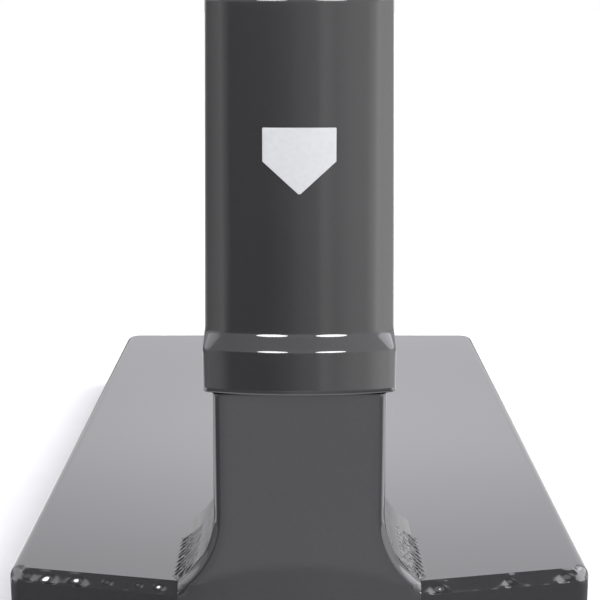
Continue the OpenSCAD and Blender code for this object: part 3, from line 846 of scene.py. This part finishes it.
# Brightness of the surroundings right round the object, as (degrees from the front towards +X, value).
# The five bands lie steeply below the horizon, below it, about level, a little above it and high up.
DEEP = [(-180, 0.8), (-165, 0.2), (-100, 0.08), (-30, 0.2), (-12, 0.35), (-6, 0.55), (-3, 0.85), (4, 1.0),
        (12, 0.85), (30, 0.3), (100, 0.15), (165, 0.3), (180, 0.8)]
LOW = [(-180, 1.6), (-168, 1.5), (-150, 1.2), (-120, 1.2), (-108, 3.4), (-82, 3.4), (-68, 0.2), (-14, 0.3),
       (-11, 0.7), (-6, 1.0), (-4, 1.34), (4, 1.34), (6, 1.2), (12, 1.1), (15, 0.9), (58, 0.6), (74, 4.2),
       (106, 4.2), (125, 1.5), (165, 1.5), (180, 1.6)]
LEVEL = [(-180, 0.03), (-168, 0.1), (-160, 0.9), (-150, 0.9), (-138, 0.3), (-115, 0.3), (-74, 0.9),
         (-43, 1.3), (-31, 0.9), (-27, 0.12), (-12, 0.06), (-4, 0.3), (0, 0.58), (6.5, 0.83), (7.5, 0.98),
         (9, 1.42), (14, 1.12), (21, 1.58), (26, 1.72), (31, 2.9), (44, 3.8), (58, 3.6), (86, 2.9),
         (110, 1.8), (138, 0.6), (150, 1.1), (160, 1.1), (168, 0.1), (180, 0.05)]
SLOPE = [(-180, 1.22), (-169, 1.08), (-110, 1.2), (-60, 1.8), (-26, 1.1), (0, 1.4), (26, 2.0), (60, 4.0),
         (110, 1.6), (170, 1.15), (180, 1.22)]
HIGH = [(-180, 1.78), (-169, 1.45), (-132, 1.4), (-118, 3.3), (-72, 3.4), (-46, 2.6), (-32, 0.2), (0, 0.1),
        (28, 0.25), (42, 5.5), (68, 6.4), (118, 6.4), (132, 1.5), (170, 1.62), (180, 1.78)]
GROUND, OVERHEAD = 2.2, 0.4

# A ramp holds brightness divided by this, and the world's strength multiplies it again.
RAMP_SCALE = 4


def ramp(nodes, stops):
    """A grey ramp round the compass."""
    made = nodes.new("ShaderNodeValToRGB")
    elements = made.color_ramp.elements
    while len(elements) < len(stops):
        elements.new(0.5)
    for element, (degrees, value) in zip(elements, stops):
        element.position = degrees / 360 + 0.5
        element.color = (*[value / RAMP_SCALE] * 3, 1)
    return made


def studio():
    """A white studio whose front is darker on the left, as the glossy paint shows it."""
    world = bpy.data.worlds.new("studio")
    bpy.context.scene.world = world
    world.use_nodes = True
    nodes, links = world.node_tree.nodes, world.node_tree.links
    nodes.clear()

    def feed(sockets, values):
        for socket, value in zip(sockets, values):
            if hasattr(value, "is_output"):
                links.new(value, socket)
            else:
                socket.default_value = value

    def maths(operation, *values):
        node = nodes.new("ShaderNodeMath")
        node.operation = operation
        feed(node.inputs, values)
        return node.outputs[0]

    def mix(share, a, b):
        node = nodes.new("ShaderNodeMix")
        node.data_type = "FLOAT"
        feed((node.inputs[0], node.inputs[2], node.inputs[3]), (share, a, b))
        return node.outputs[0]

    def step(value, low, high):
        node = nodes.new("ShaderNodeMapRange")
        node.interpolation_type = "SMOOTHSTEP"
        feed((node.inputs["Value"], node.inputs["From Min"], node.inputs["From Max"]), (value, low, high))
        return node.outputs["Result"]

    place = nodes.new("ShaderNodeTexCoord")
    parts = nodes.new("ShaderNodeSeparateXYZ")
    links.new(place.outputs["Generated"], parts.inputs[0])
    x, y, z = parts.outputs
    ahead = maths("MULTIPLY", y, -1)
    compass = maths("MULTIPLY_ADD", maths("ARCTAN2", x, ahead), 1 / (2 * math.pi), 0.5)

    # Behind the object the pale floor reaches a little higher than in front.
    up = maths("SUBTRACT", z, maths("MULTIPLY", step(y, 0.2, 0.5), 0.039))
    # In front the high band starts higher, and the dark overhead reaches lower.
    sky = maths("SUBTRACT", up, maths("MULTIPLY", step(ahead, 0.5, 0.8), 0.12))
    crown = maths("ADD", up, maths("MULTIPLY", step(ahead, -0.3, 0.1), 0.26))

    # Each band fades in over the one below it, between two sines of elevation.
    band = GROUND / RAMP_SCALE
    for height, start, end, stops in ((up, -0.54, -0.48, DEEP), (up, -0.392, -0.383, LOW),
                                      (up, -0.2755, -0.2725, LEVEL), (up, 0.02, 0.045, SLOPE),
                                      (sky, 0.19, 0.28, HIGH)):
        made = ramp(nodes, stops)
        links.new(compass, made.inputs["Fac"])
        band = mix(step(height, start, end), band, made.outputs["Color"])
    band = mix(step(crown, 0.8, 0.95), band, OVERHEAD / RAMP_SCALE)

    # The camera itself sees plain white.
    path = nodes.new("ShaderNodeLightPath")
    seen = path.outputs["Is Camera Ray"]
    back = nodes.new("ShaderNodeBackground")
    links.new(mix(seen, maths("MULTIPLY", band, RAMP_SCALE), 1.0), back.inputs["Strength"])
    out = nodes.new("ShaderNodeOutputWorld")
    links.new(back.outputs[0], out.inputs["Surface"])

    # Overhead and towards the floor the white is a little cooler.
    tint = nodes.new("ShaderNodeMix")
    tint.data_type = "RGBA"
    tint.inputs[6].default_value = (1, 1, 1, 1)
    tint.inputs[7].default_value = (1, 0.99, 1.035, 1)
    cool = maths("SUBTRACT", maths("ADD", step(up, 0.03, 0.2), 1), step(up, -0.3, -0.27))
    links.new(maths("MULTIPLY", cool, maths("SUBTRACT", 1, seen)), tint.inputs[0])
    links.new(tint.outputs[2], back.inputs["Color"])


def softbox(name, place, size, power, target, shape="RECTANGLE"):
    """A soft area light at a place, turned to face its target."""
    data = bpy.data.lights.new(name, "AREA")
    data.shape = shape
    data.size, data.size_y = size
    data.energy = power
    light = bpy.data.objects.new(name, data)
    light.location = place
    light.rotation_euler = (Vector(target) - Vector(place)).to_track_quat("-Z", "Y").to_euler()
    light.visible_camera = False
    bpy.context.scene.collection.objects.link(light)


def lights():
    """Two far round lights in front, which make the lens highlights on the slope, and a key light."""
    away, rise, aim = 35, math.radians(7.8), (0, BASE_FRONT, 0.16)
    for name, degrees in (("front_light_left", -10.2), ("front_light_right", 12)):
        turn = math.radians(degrees)
        spot = (away * math.sin(turn), BASE_FRONT - away * math.cos(turn), aim[2] + away * math.tan(rise))
        softbox(name, spot, (7.2, 6.4), 2800, aim, "ELLIPSE")
    softbox("key_light", (1.1, 0.5, 1.9), (0.9, 0.9), 9, (0, 0, 0.1))


def camera():
    """Close in front of the neck and pitched down, as the steep convergence of the base asks."""
    away, rise, pitch = 615 * MM, 267.8 * MM, 12.016
    data = bpy.data.cameras.new("view")
    data.sensor_width = 36
    data.lens = 84
    data.clip_start = 0.01
    data.clip_end = 100
    seer = bpy.data.objects.new("view", data)
    seer.location = (0.3 * MM, BASE_FRONT - away, PLATE_TOP + rise)
    seer.rotation_euler = (math.radians(90 - pitch), 0, 0)
    bpy.context.scene.collection.objects.link(seer)
    bpy.context.scene.camera = seer


floor()
studio()
lights()
camera()

view = bpy.context.scene.view_settings
view.view_transform = "Standard"
view.look = "None"
view.exposure = 0
view.gamma = 1
